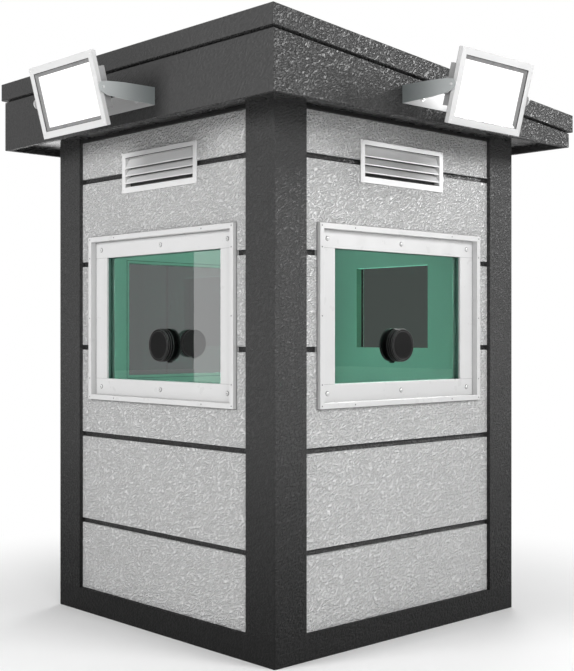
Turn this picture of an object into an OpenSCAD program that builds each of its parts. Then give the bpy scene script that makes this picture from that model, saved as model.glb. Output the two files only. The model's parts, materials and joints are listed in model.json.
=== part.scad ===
// Security guard booth: a square armoured cabin with three glazed sides, a door in the rear wall and a
// mono-pitch roof. All lengths are in millimetres. +Z is up, the front faces -Y, the origin is on the
// ground at the centre of the plan.

/* [Plan and heights] */
// Side of the square plan, over the corner posts
plan_side = 1500; // [1400:10:2000]
// Height of the base frame and floor
base_h = 105; // [60:5:200]
// Height of the soffit's underside above the ground
soffit_z = 2166; // [2120:1:2700]
// Thickness of the wall, from the face of the posts to the room
wall_t = 90; // [80:1:140]

/* [Corner posts and cladding] */
// Width of a corner post's face
post_w = 168; // [120:1:220]
// Radius of a post's outer edge
post_round = 6; // [2:1:15]
// How far the cladding lies behind the face of the posts
cladding_recess = 17; // [8:1:25]
// Thickness of the cladding boards, and so the depth of the grooves
cladding_t = 13; // [8:1:20]
// Width of the grooves between the cladding boards
groove_w = 22; // [8:1:40]
// Height of the lowest groove above the ground
first_groove_z = 415; // [300:5:600]
// Height of the two courses above the lowest groove
lower_course = 398; // [300:1:450]
// Height of the next two courses
upper_course = 380.5; // [300:0.5:420]
// Height of the dark trim strip under the soffit
trim_h = 15; // [8:1:40]

/* [Windows] */
// Width of a window over its rim
window_w = 1016; // [700:2:1120]
// Height of a window over its rim
window_h = 735; // [500:5:900]
// Height of the rim's lower edge above the ground
window_z = 976; // [850:1:1050]
// How far the rim stands proud of the cladding
rim_proud = 18; // [6:1:25]
// Width of the rim's face
rim_face = 22; // [15:1:50]
// Depth from the rim's face back to the flat glazing plate
plate_recess = 27; // [10:1:35]
// Width of the plate's side members
plate_stile = 87.5; // [60:0.5:140]
// Width of the plate's top and bottom members
plate_rail = 73.5; // [50:0.5:120]
// Thickness of the glazing plate
plate_t = 10; // [6:1:14]
// Depth of the black gasket between the plate and the glass
gasket_t = 12; // [4:1:16]
// How far the glass is held behind the plate
glass_hold = 30; // [15:1:50]
// How far the window's inner flange stands into the room
inner_flange_t = 5; // [4:1:20]

/* [Speech port] */
// Diameter of the port's flange
port_d = 141; // [90:1:180]
// Diameter of the port's barrel, through the glass
port_barrel_d = 90; // [60:1:110]
// Height of the port's centre above the ground
port_z = 1224.5; // [1150:0.5:1400]
// How far the port stands out of the glass
port_out = 33; // [15:1:44]
// How far the port stands into the room
port_in = 17; // [8:1:40]

/* [Vent grilles] */
// Width of a grille over its flange
vent_w = 524; // [300:2:700]
// Height of a grille over its flange
vent_h = 176; // [140:2:240]
// Distance from the top of the cladding down to the grille
vent_drop = 84; // [60:1:110]
// Width of the flange at the sides and below the opening
vent_flange = 22; // [12:1:30]
// Width of the flange above the opening
vent_flange_top = 17; // [10:1:30]
// Thickness of the flange in front of the cladding
vent_flange_t = 5; // [3:1:8]
// Height of the lowest blade's lip above the grille's lower edge
vent_first_lip = 41; // [30:1:60]
// Height between the lips of two blades
vent_pitch = 33.5; // [25:0.5:40]
// Number of blades
vent_blades = 3; // [2:1:3]

/* [Door] */
// Width of the door leaf
door_w = 800; // [650:5:850]
// Height of the door leaf
door_h = 1930; // [1800:5:1980]
// Thickness of the door leaf
door_t = 60; // [45:1:70]
// Distance from the middle of the rear wall to the middle of the leaf, towards +X
door_offset = 40; // [0:1:60]
// Gap round the leaf
door_gap = 5; // [5:1:8]
// Width of the frame's jambs
jamb_w = 55; // [40:1:55]
// How far the frame and the leaf stand proud of the cladding
door_proud = 8; // [4:1:12]
// Width of the door's pane
pane_w = 478; // [300:1:520]
// Height of the door's pane
pane_h = 409; // [300:1:600]
// Height of the pane's lower edge above the ground
pane_z = 1203; // [1100:1:1300]
// Height of the handle above the ground
handle_z = 960; // [950:5:1080]

/* [Roof] */
// Overhang of the fascia past the posts, front and rear
overhang_end = 180; // [120:5:300]
// Overhang of the fascia past the posts, at the sides
overhang_side = 190; // [120:5:300]
// How far the fascia hangs below the soffit
fascia_drop = 28; // [15:1:60]
// Thickness of the fascia boards
fascia_t = 20; // [12:1:30]
// Height of the low rear fascia with its cap
fascia_rear_h = 147.7; // [130:0.1:300]
// Slope of the roof, falling from front to rear
roof_slope = 5.01; // [2:0.01:5.2]
// Height of the roof's edge cap
cap_h = 78; // [50:1:100]
// How far the cap stands proud of the fascia
cap_proud = 13; // [5:1:25]
// Height of the shadow gap between the fascia and the cap
shadow_gap = 8; // [4:1:12]

/* [Floodlights] */
// Width of a lamp head
lamp_w = 456; // [300:2:520]
// Height of a lamp head
lamp_h = 291; // [200:1:320]
// Depth of the lamp's front frame
lamp_frame_t = 18; // [12:1:24]
// Width of the front frame's face
lamp_frame_face = 27; // [18:1:40]
// Depth of the lamp's rear housing
lamp_back_t = 39; // [25:1:60]
// Tilt of the lamp's face below the horizontal
lamp_tilt = 14.9; // [0:0.1:30]
// Distance from the fascia to the tilt pivot
yoke_reach = 247; // [220:1:300]
// Height of the tilt pivot above the fascia's lower edge
yoke_up = 86.5; // [80:0.5:95]
// Height of the yoke's web on the fascia
yoke_web_h = 71; // [50:1:71]
// Thickness of the yoke's flat bar
yoke_t = 4; // [3:1:6]
// Diameter of the tilt bolts
tilt_bolt_d = 6; // [5:1:8]

/* [Hidden] */
$fn = 96;
slip = 0.3;                       // clearance round a pin
moving_gap = 6;                   // clearance beside a piece that moves
over = 1;                         // how far a cut runs past its piece

half = plan_side / 2;
room_half = half - wall_t;
clad_y = half - cladding_recess;  // face of the cladding
core_y = clad_y - cladding_t;     // outer face of the wall core
wall_half_w = half - post_w;      // half the width between two posts
clad_top = soffit_z - trim_h;
grooves = [for (i = [0:4])
    first_groove_z + min(i, 2) * lower_course + max(i - 2, 0) * upper_course];

rim_y = clad_y + rim_proud;
plate_y = rim_y - plate_recess;
glass_y = plate_y - plate_t - gasket_t;
glass_back_y = room_half + 2;
window_mid_z = window_z + window_h / 2;
plate_w = window_w - 2 * rim_face;
plate_h = window_h - 2 * rim_face;
light_w = plate_w - 2 * plate_stile;
light_h = plate_h - 2 * plate_rail;
inner_flange_y = room_half - inner_flange_t;

vent_z = clad_top - vent_drop - vent_h;
vent_hole_w = vent_w - 2 * vent_flange;
vent_hole_low = vent_z + vent_flange;
vent_hole_top = vent_z + vent_h - vent_flange_top;
vent_mid_z = vent_z + vent_h / 2;
vent_sleeve_t = 3;
vent_blade_t = 2.5;
vent_lip_h = 6;
vent_blade_run = 22;

door_y = clad_y + door_proud;     // face of the frame and the leaf
leaf_back_y = door_y - door_t;
leaf_z = base_h + door_gap;
leaf_top = leaf_z + door_h;
frame_in_half = door_w / 2 + door_gap;
frame_out_half = frame_in_half + jamb_w;
stop_w = 12;
door_groove_depth = 8;
pane_sleeve_t = 6;
pane_trim_w = 30;
pane_trim_t = 6;
pane_t = 24;
hinge_r = 8;
hinge_h = 110;
hinge_pin_r = 4;
hinge_leaf_w = 38;
hinge_leaf_t = 4;
hinge_gap = 1;
hinge_x = door_offset - door_w / 2 - door_gap / 2;
hinge_y = door_y + hinge_r + 1;
hinge_zs = [leaf_z + 190, leaf_z + door_h * 0.52, leaf_top - 190];
handle_x = door_offset + door_w / 2 - 60;
handle_plate = [44, 6, 130];
handle_neck = 46;
handle_r = 10;
handle_len = 125;

fascia_x = half + overhang_side;
fascia_y = half + overhang_end;
fascia_z = soffit_z - fascia_drop;
yoke_z = fascia_z + yoke_up;
cap_x = fascia_x + cap_proud;
cap_y = fascia_y + cap_proud;
soffit_t = 16;
cap_in = fascia_t + cap_proud + 20;
shadow_gap_depth = 13;
roof_sheet_t = 14;
roof_sheet_drop = 28;
roof_rib = 20;
roof_ribs = 5;
function roof_z(y) = fascia_z + fascia_rear_h + (cap_y - y) * tan(roof_slope);

lamp_half_w = lamp_w / 2;
arm_in = lamp_half_w + moving_gap;
pivot_behind_face = 14;
arm_end_r = 21;
bolt_head_r = 5;
bolt_head_t = 5;
lamp_back_w = lamp_w - 28;
lamp_back_h = lamp_h - 127;
lamp_plate_t = 4;
lens_t = 4;
lens_depth = 12;
fin_t = 3;
fin_n = 15;
fin_depth = 14;

white = [0.88, 0.88, 0.88];
dark = [0.29, 0.29, 0.30];
light = [0.72, 0.72, 0.72];
wall_gray = [0.25, 0.25, 0.26];

// Turns the front face's own layout to the right (+X) and left (-X) faces
FRONT = 0;
RIGHT = 90;
LEFT = -90;

// ---- plan outlines ----

module rounded_plan(side, r) {
    square([side - 2 * r, side], center = true);
    square([side, side - 2 * r], center = true);
    for (x = [-1, 1], y = [-1, 1])
        translate([x * (side / 2 - r), y * (side / 2 - r)]) circle(r);
}

// A box centred on x, from y0 to y1 and z0 to z1
module wall_box(w, y0, y1, z0, z1) {
    translate([-w / 2, y0, z0]) cube([w, y1 - y0, z1 - z0]);
}

// ---- base, floor and posts ----

module base_frame() {
    color(dark) linear_extrude(base_h) difference() {
        rounded_plan(plan_side, post_round);
        square(2 * room_half, center = true);
    }
}

module floor_deck() {
    color([0.35, 0.35, 0.34]) translate([-room_half, -room_half, 0])
        cube([2 * room_half, 2 * room_half, base_h]);
}

// A corner post is an angle that wraps the outside of the corner
module corner_post(sx, sy) {
    color(dark) translate([0, 0, base_h]) linear_extrude(soffit_z - base_h) difference() {
        intersection() {
            rounded_plan(plan_side, post_round);
            translate([sx * (half - post_w / 2), sy * (half - post_w / 2)])
                square(post_w, center = true);
        }
        square(2 * room_half, center = true);
    }
}

// ---- walls and cladding, laid out on the front face ----

module window_hole(y0, y1) {
    wall_box(window_w, y0, y1, window_z, window_z + window_h);
}

module vent_hole(y0, y1) {
    wall_box(vent_hole_w, y0, y1, vent_hole_low, vent_hole_top);
}

module glazed_wall(turn) {
    color(wall_gray) rotate([0, 0, turn]) difference() {
        wall_box(2 * wall_half_w, -core_y, -room_half, base_h, soffit_z);
        window_hole(-core_y - over, -room_half + over);
        vent_hole(-core_y - over, -room_half + over);
    }
}

module cladding_courses() {
    lows = concat([base_h], [for (g = grooves) g + groove_w / 2]);
    highs = concat([for (g = grooves) g - groove_w / 2], [clad_top]);
    for (i = [0:len(lows) - 1])
        wall_box(2 * wall_half_w, -clad_y, -core_y, lows[i], highs[i]);
}

module glazed_cladding(turn) {
    color(light) rotate([0, 0, turn]) difference() {
        cladding_courses();
        window_hole(-clad_y - over, -core_y + over);
        vent_hole(-clad_y - over, -core_y + over);
    }
}

module cornice_trim() {
    trim_y = half - 5;
    color(dark) for (turn = [0:90:270])
        rotate([0, 0, turn]) wall_box(2 * wall_half_w, -trim_y, -core_y, clad_top, soffit_z);
}

// ---- rear wall, beside the doorway ----

module rear_wall_side(x0, x1) {
    color(wall_gray) translate([x0, room_half, base_h])
        cube([x1 - x0, core_y - room_half, soffit_z - base_h]);
}

module rear_cladding() {
    color(light) difference() {
        rotate([0, 0, 180]) cladding_courses();
        translate([door_offset - frame_out_half, core_y - over, base_h - over])
            cube([2 * frame_out_half, cladding_t + 2 * over, clad_top - base_h + 2 * over]);
    }
}

// ---- windows ----

module ring_box(w_out, h_out, w_in, h_in, y0, y1) {
    difference() {
        wall_box(w_out, y0, y1, window_mid_z - h_out / 2, window_mid_z + h_out / 2);
        wall_box(w_in, y0 - over, y1 + over, window_mid_z - h_in / 2, window_mid_z + h_in / 2);
    }
}

module window_frame(turn) {
    plate_back = -(plate_y - plate_t);
    color(white) rotate([0, 0, turn]) {
        ring_box(window_w, window_h, plate_w, plate_h, -rim_y, -inner_flange_y);
        ring_box(plate_w + over, plate_h + over, light_w, light_h, -plate_y, plate_back);
        ring_box(plate_w + over, plate_h + over, light_w + 8, light_h + 8, plate_back, -glass_y);
        ring_box(plate_w + over, plate_h + over, light_w, light_h, -glass_back_y, -inner_flange_y);
    }
}

module window_glass(turn) {
    color([0.2, 0.55, 0.45, 0.5]) rotate([0, 0, turn]) difference() {
        wall_box(light_w + 2 * glass_hold, -glass_y, -glass_back_y,
            window_mid_z - light_h / 2 - glass_hold, window_mid_z + light_h / 2 + glass_hold);
        translate([0, -glass_back_y + over, port_z]) rotate([90, 0, 0])
            cylinder(h = glass_y - glass_back_y + 2 * over, r = port_barrel_d / 2 + slip);
    }
}

// Profile of the port, as radius against distance out from the glass
module speech_port() {
    r = port_d / 2;
    through = glass_y - glass_back_y;
    groove = 6;
    band = (port_out - 2 * 5) / 3;
    rotate_extrude() {
        translate([0, -through - port_in]) square([port_barrel_d / 2, through + port_in + port_out]);
        square([r, band]);
        square([r - groove, port_out - 2]);
        translate([0, band + 5]) square([r, band]);
        translate([0, 2 * (band + 5)]) square([r - groove / 2, band]);
        translate([0, -through - port_in]) square([r, port_in]);
    }
}

module port_latch() {
    knob_r = 9;
    translate([0, -port_d / 2 + 3, -(glass_y - glass_back_y) - port_in])
        cylinder(h = port_in, r = knob_r);
}

module speech_ports() {
    color([0.08, 0.08, 0.08]) for (turn = [FRONT, RIGHT, LEFT])
        rotate([0, 0, turn]) translate([0, -glass_y, port_z]) rotate([90, 0, 0]) {
            speech_port();
            port_latch();
        }
}

// ---- vent grilles ----

// A blade rises from its lip at the front to the back of the duct
module vent_blade(lip_z, rise) {
    lip_y = -(clad_y + vent_flange_t - 2);
    translate([-vent_hole_w / 2 + vent_sleeve_t / 2, 0, 0]) rotate([90, 0, 90])
        linear_extrude(vent_hole_w - vent_sleeve_t) polygon([
            [lip_y, lip_z], [lip_y, lip_z + vent_lip_h],
            [lip_y + vent_blade_t, lip_z + vent_lip_h],
            [lip_y + vent_blade_run, lip_z + rise],
            [lip_y + vent_blade_run + vent_blade_t, lip_z + rise],
            [lip_y + vent_blade_t, lip_z]]);
}

module vent_grille() {
    face_y = clad_y + vent_flange_t;
    difference() {
        union() {
            wall_box(vent_w, -face_y, -clad_y, vent_z, vent_z + vent_h);
            wall_box(vent_hole_w, -clad_y, -(room_half - vent_sleeve_t), vent_hole_low, vent_hole_top);
        }
        wall_box(vent_hole_w - 2 * vent_sleeve_t, -face_y - over, -room_half + vent_sleeve_t + over,
            vent_hole_low + vent_sleeve_t, vent_hole_top - vent_sleeve_t);
    }
    for (i = [0:vent_blades - 1]) {
        lip_z = vent_z + vent_first_lip + i * vent_pitch;
        vent_blade(lip_z, i == vent_blades - 1 ? vent_hole_top - vent_sleeve_t - lip_z : vent_pitch);
    }
}

module vent_grilles() {
    color(white) for (turn = [FRONT, RIGHT, LEFT]) rotate([0, 0, turn]) vent_grille();
}

// ---- door ----

module door_box(x0, x1, y0, y1, z0, z1) {
    translate([door_offset + x0, y0, z0]) cube([x1 - x0, y1 - y0, z1 - z0]);
}

module door_frame() {
    stop_y = leaf_back_y - door_gap;
    head_z = leaf_top + door_gap;
    color(dark) difference() {
        union() {
            door_box(-frame_out_half, frame_out_half, room_half, door_y, base_h, clad_top);
            door_box(-frame_out_half, frame_out_half, room_half, core_y, clad_top - over, soffit_z);
        }
        door_box(-frame_in_half, frame_in_half, stop_y, door_y + over, base_h - over, head_z);
        door_box(-frame_in_half + stop_w, frame_in_half - stop_w, room_half - over, stop_y + over,
            base_h - over, head_z - stop_w);
    }
}

module door_leaf() {
    color(light) difference() {
        door_box(-door_w / 2, door_w / 2, leaf_back_y, door_y, leaf_z, leaf_top);
        door_box(-pane_w / 2 - pane_sleeve_t, pane_w / 2 + pane_sleeve_t, leaf_back_y - over,
            door_y + over, pane_z - pane_sleeve_t, pane_z + pane_h + pane_sleeve_t);
        for (g = grooves)
            if (g + groove_w / 2 < leaf_top)
                door_box(-door_w / 2 - over, door_w / 2 + over, door_y - door_groove_depth,
                    door_y + over, g - groove_w / 2, g + groove_w / 2);
    }
}

module door_pane_trim() {
    edge = pane_sleeve_t + pane_trim_w;
    color(white) difference() {
        union() {
            door_box(-pane_w / 2 - pane_sleeve_t, pane_w / 2 + pane_sleeve_t, leaf_back_y,
                door_y + pane_trim_t, pane_z - pane_sleeve_t, pane_z + pane_h + pane_sleeve_t);
            door_box(-pane_w / 2 - edge, pane_w / 2 + edge, door_y, door_y + pane_trim_t,
                pane_z - edge, pane_z + pane_h + edge);
        }
        door_box(-pane_w / 2, pane_w / 2, leaf_back_y - over, door_y + pane_trim_t + over,
            pane_z, pane_z + pane_h);
    }
}

// The pane is flush with the outside of the leaf
module door_pane() {
    color([0.2, 0.55, 0.45, 0.5])
        door_box(-pane_w / 2, pane_w / 2, door_y - pane_t, door_y, pane_z, pane_z + pane_h);
}

// Back plate, neck and lever of the handle, outside the leaf; the lever points to the hinges
module handle_side() {
    translate([-handle_plate[0] / 2, 0, -handle_plate[2] / 2]) cube(handle_plate);
    rotate([-90, 0, 0]) cylinder(h = handle_neck, r = handle_r);
    translate([0, handle_neck, 0]) {
        sphere(handle_r);
        rotate([0, -90, 0]) cylinder(h = handle_len, r = handle_r);
        translate([-handle_len, 0, 0]) sphere(handle_r);
    }
}

module door_handle() {
    color([0.75, 0.75, 0.76]) {
        translate([handle_x, door_y, handle_z]) handle_side();
        translate([handle_x, leaf_back_y, handle_z]) mirror([0, 1, 0]) handle_side();
    }
}

module hinge_frame_halves() {
    color(dark) for (z = hinge_zs) translate([hinge_x, hinge_y, z]) {
        cylinder(h = (hinge_h - hinge_gap) / 2, r = hinge_r);
        cylinder(h = hinge_h - hinge_r, r = hinge_pin_r);
        translate([-hinge_leaf_w, door_y - hinge_y, 0])
            cube([hinge_leaf_w, hinge_leaf_t, (hinge_h - hinge_gap) / 2]);
    }
}

module hinge_door_halves() {
    low = (hinge_h + hinge_gap) / 2;
    color(dark) for (z = hinge_zs) translate([hinge_x, hinge_y, z]) difference() {
        union() {
            translate([0, 0, low]) cylinder(h = hinge_h - low, r = hinge_r);
            translate([0, door_y - hinge_y, low])
                cube([hinge_leaf_w, hinge_leaf_t, hinge_h - low]);
        }
        translate([0, 0, low - over])
            cylinder(h = hinge_h - hinge_r + slip - low + over, r = hinge_pin_r + slip);
    }
}

// ---- roof ----

// A slab between two planes that follow the roof's slope, above_lo and above_hi over the roof's top
module sloped_slab(x0, x1, y0, y1, above_lo, above_hi) {
    translate([x0, 0, 0]) rotate([90, 0, 90]) linear_extrude(x1 - x0) polygon([
        [y0, roof_z(y0) + above_lo], [y1, roof_z(y1) + above_lo],
        [y1, roof_z(y1) + above_hi], [y0, roof_z(y0) + above_hi]]);
}

module soffit() {
    color([0.2, 0.2, 0.2])
        translate([-(fascia_x - fascia_t), -(fascia_y - fascia_t), soffit_z])
            cube([2 * (fascia_x - fascia_t), 2 * (fascia_y - fascia_t), soffit_t]);
}

// Mitred plan of the fascia board on the side that points along (ux, uy)
module fascia_plan(ux, uy) {
    xi = fascia_x - fascia_t;
    yi = fascia_y - fascia_t;
    if (ux == 0)
        polygon([[-fascia_x, uy * fascia_y], [fascia_x, uy * fascia_y], [xi, uy * yi], [-xi, uy * yi]]);
    else
        polygon([[ux * fascia_x, -fascia_y], [ux * fascia_x, fascia_y], [ux * xi, yi], [ux * xi, -yi]]);
}

module fascia(ux, uy) {
    color(dark) intersection() {
        translate([0, 0, fascia_z]) linear_extrude(roof_z(-cap_y) - fascia_z) fascia_plan(ux, uy);
        translate([-cap_x, 0, 0]) rotate([90, 0, 90]) linear_extrude(2 * cap_x) polygon([
            [-cap_y, 0], [cap_y, 0],
            [cap_y, roof_z(cap_y) - cap_h - shadow_gap],
            [-cap_y, roof_z(-cap_y) - cap_h - shadow_gap]]);
    }
}

// The cap runs round the roof's edge; a narrower tongue under it seats on the fascia
module roof_cap() {
    inset = cap_proud + shadow_gap_depth;
    color(dark) difference() {
        union() {
            sloped_slab(-cap_x, cap_x, -cap_y, cap_y, -cap_h, 0);
            sloped_slab(-cap_x + inset, cap_x - inset, -cap_y + inset, cap_y - inset,
                -cap_h - shadow_gap, -cap_h + over);
        }
        sloped_slab(-cap_x + cap_in, cap_x - cap_in, -cap_y + cap_in, cap_y - cap_in,
            -cap_h - shadow_gap - over, over);
    }
}

module roof_sheet() {
    x = cap_x - cap_in;
    y = cap_y - cap_in;
    rib_pitch = 2 * x / (roof_ribs + 1);
    color([0.33, 0.33, 0.34]) {
        sloped_slab(-x, x, -y, y, -roof_sheet_drop - roof_sheet_t, -roof_sheet_drop);
        for (i = [1:roof_ribs]) {
            rib_x = -x + i * rib_pitch;
            sloped_slab(rib_x - roof_rib / 2, rib_x + roof_rib / 2, -y, y,
                -roof_sheet_drop - over, -roof_sheet_drop + roof_rib);
        }
    }
}

// ---- floodlights, laid out on the front face and carried at the pivot ----

module at_pivot(turn, fascia_out) {
    rotate([0, 0, turn]) translate([0, -(fascia_out + yoke_reach), yoke_z]) children();
}

module yoke() {
    low = -yoke_web_h / 2 - 2;
    high = yoke_web_h / 2 - 2;
    arm_out = arm_in + yoke_t;
    for (x = [-arm_out, arm_in])
        translate([x, 0, 0]) rotate([90, 0, 90]) linear_extrude(yoke_t) difference() {
            union() {
                polygon([[yoke_reach, low], [yoke_reach, high], [yoke_reach * 0.4, high - 2],
                    [arm_end_r, arm_end_r + 5], [0, arm_end_r], [0, -arm_end_r],
                    [arm_end_r, -arm_end_r - 8], [yoke_reach * 0.4, low + 3]]);
                circle(arm_end_r);
            }
            circle(tilt_bolt_d / 2 + slip);
        }
    translate([-arm_in - over, yoke_reach - yoke_t, low])
        cube([2 * (arm_in + over), yoke_t, yoke_web_h]);
}

module lamp_yokes() {
    color([0.68, 0.7, 0.7]) {
        at_pivot(FRONT, fascia_y) yoke();
        at_pivot(RIGHT, fascia_x) yoke();
        at_pivot(LEFT, fascia_x) yoke();
    }
}

// Places the head's own layout: the pivot at the origin, the lamp's face towards -Y
module lamp_head(turn, fascia_out) {
    at_pivot(turn, fascia_out) rotate([lamp_tilt, 0, 0]) translate([0, -pivot_behind_face, 0]) children();
}

module lamp_frame(turn, fascia_out) {
    in_w = lamp_w - 2 * lamp_frame_face;
    in_h = lamp_h - 2 * lamp_frame_face;
    color(white) lamp_head(turn, fascia_out) {
        difference() {
            translate([-lamp_half_w, 0, -lamp_h / 2]) cube([lamp_w, lamp_frame_t, lamp_h]);
            translate([-in_w / 2, -over, -in_h / 2]) cube([in_w, lamp_frame_t + 2 * over, in_h]);
        }
        for (side = [-1, 1]) translate([0, pivot_behind_face, 0]) rotate([0, side * 90, 0]) {
            translate([0, 0, lamp_half_w - over]) cylinder(h = moving_gap - slip + over, r = bolt_head_r);
            translate([0, 0, lamp_half_w - over])
                cylinder(h = moving_gap + yoke_t + slip + 2 * over, r = tilt_bolt_d / 2);
            translate([0, 0, arm_in + yoke_t + slip]) cylinder(h = bolt_head_t, r = bolt_head_r);
        }
    }
}

module lamp_back(turn, fascia_out) {
    plate_in = 2;
    color([0.6, 0.62, 0.62]) lamp_head(turn, fascia_out) translate([0, lamp_frame_t, 0]) {
        translate([-lamp_half_w + plate_in, 0, -lamp_h / 2 + plate_in])
            cube([lamp_w - 2 * plate_in, lamp_plate_t, lamp_h - 2 * plate_in]);
        translate([-lamp_back_w / 2, 0, -lamp_back_h / 2]) difference() {
            cube([lamp_back_w, lamp_back_t, lamp_back_h]);
            fin_pitch = (lamp_back_w - fin_t) / fin_n;
            for (i = [0:fin_n - 1])
                translate([fin_t + i * fin_pitch, lamp_back_t - fin_depth, -over])
                    cube([fin_pitch - fin_t, fin_depth + over, lamp_back_h + 2 * over]);
        }
    }
}

module lamp_lens(turn, fascia_out) {
    in_w = lamp_w - 2 * lamp_frame_face;
    in_h = lamp_h - 2 * lamp_frame_face;
    color([1, 1, 1]) lamp_head(turn, fascia_out)
        translate([-in_w / 2, lens_depth, -in_h / 2]) cube([in_w, lens_t, in_h]);
}

// ---- output ----

base_frame();
floor_deck();
corner_post(1, -1);  // post_front_right
corner_post(-1, -1);  // post_front_left
corner_post(1, 1);  // post_rear_right
corner_post(-1, 1);  // post_rear_left
glazed_wall(FRONT);  // front_wall
glazed_wall(RIGHT);  // right_wall
glazed_wall(LEFT);  // left_wall
rear_wall_side(door_offset + frame_out_half, wall_half_w);  // rear_wall_right
rear_wall_side(-wall_half_w, door_offset - frame_out_half);  // rear_wall_left
glazed_cladding(FRONT);  // front_cladding
glazed_cladding(RIGHT);  // right_cladding
glazed_cladding(LEFT);  // left_cladding
rear_cladding();
cornice_trim();
soffit();
fascia(0, -1);  // fascia_front
fascia(0, 1);  // fascia_rear
fascia(1, 0);  // fascia_right
fascia(-1, 0);  // fascia_left
roof_cap();
roof_sheet();
window_frame(FRONT);  // window_frame_front
window_frame(RIGHT);  // window_frame_right
window_frame(LEFT);  // window_frame_left
window_glass(FRONT);  // window_glass_front
window_glass(RIGHT);  // window_glass_right
window_glass(LEFT);  // window_glass_left
speech_ports();
vent_grilles();
door_frame();
door_leaf();
door_pane();
door_pane_trim();
door_handle();
hinge_frame_halves();
hinge_door_halves();
lamp_yokes();
lamp_frame(FRONT, fascia_y);  // lamp_frame_front
lamp_back(FRONT, fascia_y);  // lamp_back_front
lamp_lens(FRONT, fascia_y);  // lamp_lens_front
lamp_frame(RIGHT, fascia_x);  // lamp_frame_right
lamp_back(RIGHT, fascia_x);  // lamp_back_right
lamp_lens(RIGHT, fascia_x);  // lamp_lens_right
lamp_frame(LEFT, fascia_x);  // lamp_frame_left
lamp_back(LEFT, fascia_x);  // lamp_back_left
lamp_lens(LEFT, fascia_x);  // lamp_lens_left
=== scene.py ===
"""Looks of the security guard booth: materials, small fittings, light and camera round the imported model."""
import json
import math

import bmesh
import bpy
from mathutils import Matrix, Vector


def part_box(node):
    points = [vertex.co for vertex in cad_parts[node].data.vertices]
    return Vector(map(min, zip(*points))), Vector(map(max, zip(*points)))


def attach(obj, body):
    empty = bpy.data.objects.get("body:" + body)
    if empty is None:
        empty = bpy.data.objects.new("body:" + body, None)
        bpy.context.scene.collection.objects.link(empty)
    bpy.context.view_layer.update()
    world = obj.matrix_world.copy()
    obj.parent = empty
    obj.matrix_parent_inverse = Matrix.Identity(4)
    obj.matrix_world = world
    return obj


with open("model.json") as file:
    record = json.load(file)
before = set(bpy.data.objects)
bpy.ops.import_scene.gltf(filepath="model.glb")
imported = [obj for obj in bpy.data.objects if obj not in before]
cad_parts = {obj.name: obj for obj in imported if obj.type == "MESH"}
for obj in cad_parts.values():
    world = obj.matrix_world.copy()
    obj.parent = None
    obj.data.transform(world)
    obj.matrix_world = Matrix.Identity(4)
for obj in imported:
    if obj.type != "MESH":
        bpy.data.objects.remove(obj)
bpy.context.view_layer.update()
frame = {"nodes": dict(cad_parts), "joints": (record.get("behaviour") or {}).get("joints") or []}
scene = bpy.context.scene

# The faces that carry a window, a vent grille and a floodlight, by their turn from the front (-Y) face
SIDES = {"front": 0, "right": 90, "left": -90}
ROOT = "booth"
DOOR = "door"


# ---------------------------------------------------------------- places, all from the frame

def half_size(node, axis):
    low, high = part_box(node)
    return max(abs(low[axis]), abs(high[axis]))


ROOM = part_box("floor_deck")[1][0]                  # half the room's side
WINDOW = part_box("window_frame_front")
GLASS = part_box("window_glass_front")
RIM_Y = WINDOW[0][1]                               # face of the window's rim
RIM_X = WINDOW[1][0]
RIM_LOW, RIM_HIGH = WINDOW[0][2], WINDOW[1][2]
WINDOW_Z = (RIM_LOW + RIM_HIGH) / 2
RIM_FACE = 0.022                                   # width of the rim
PLATE_RECESS = 0.027                               # from the rim's face to the plate
PLATE_Y = RIM_Y + PLATE_RECESS                     # face of the flat glazing plate
PLATE_X = RIM_X - RIM_FACE
PLATE_HALF_H = (RIM_HIGH - RIM_LOW) / 2 - RIM_FACE
GLASS_HOLD = 0.030                                 # how far the plate holds the glass
LIGHT_X = GLASS[1][0] - GLASS_HOLD                 # half the glazed opening
LIGHT_HALF_H = (GLASS[1][2] - GLASS[0][2]) / 2 - GLASS_HOLD
GLASS_Y = GLASS[0][1]
INNER_Y = -WINDOW[1][1]                            # how far out the window's inner flange lies
PLATE_T = 0.010                                    # thickness of the plate
CLAD_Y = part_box("front_cladding")[0][1]
VENT_LOW, VENT_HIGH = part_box("vent_grilles")[0][2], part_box("vent_grilles")[1][2]
VENT_FLANGE = 0.022
VENT_FLANGE_TOP = 0.017
VENT_SLEEVE = 0.003                                # thickness of the duct behind the flange
VENT_X = 0.262
VENT_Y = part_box("vent_grilles")[0][1]
PORT_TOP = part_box("speech_ports")[1][2]
PORT_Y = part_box("speech_ports")[0][1]
PORT_R = 0.0705                                    # radius of a speech port
PORT_Z = PORT_TOP - PORT_R
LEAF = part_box("door_leaf")
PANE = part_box("door_pane")
FASCIA_X = half_size("fascia_right", 0)
FASCIA_Y = half_size("fascia_front", 1)
PIVOTS = {j["name"].rsplit("_", 1)[1]: Vector(j["pos_m"])
          for j in frame["joints"] if j["name"].startswith("lamp_tilt")}
LAMP_TILT = math.radians(14.9)
PIVOT_DEPTH = 0.014                                # the tilt bolts lie this far behind the lamp's face
LAMP_X = 0.228                                     # half the width of a lamp head
LAMP_Z = 0.1455                                    # half its height
LAMP_FACE = 0.027                                  # width of its front frame
LAMP_DEPTH = 0.057                                 # from its face to the back of its housing
YOKE_X = LAMP_X + 0.010                            # outer face of a yoke's arm


# ---------------------------------------------------------------- material nodes

def srgb(value):
    """Linear value of an sRGB level from 0 to 255."""
    level = value / 255
    return level / 12.92 if level <= 0.04045 else ((level + 0.055) / 1.055) ** 2.4


def grey(level, warm=0.0):
    return (srgb(level + warm), srgb(level), srgb(level - warm), 1)


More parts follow.
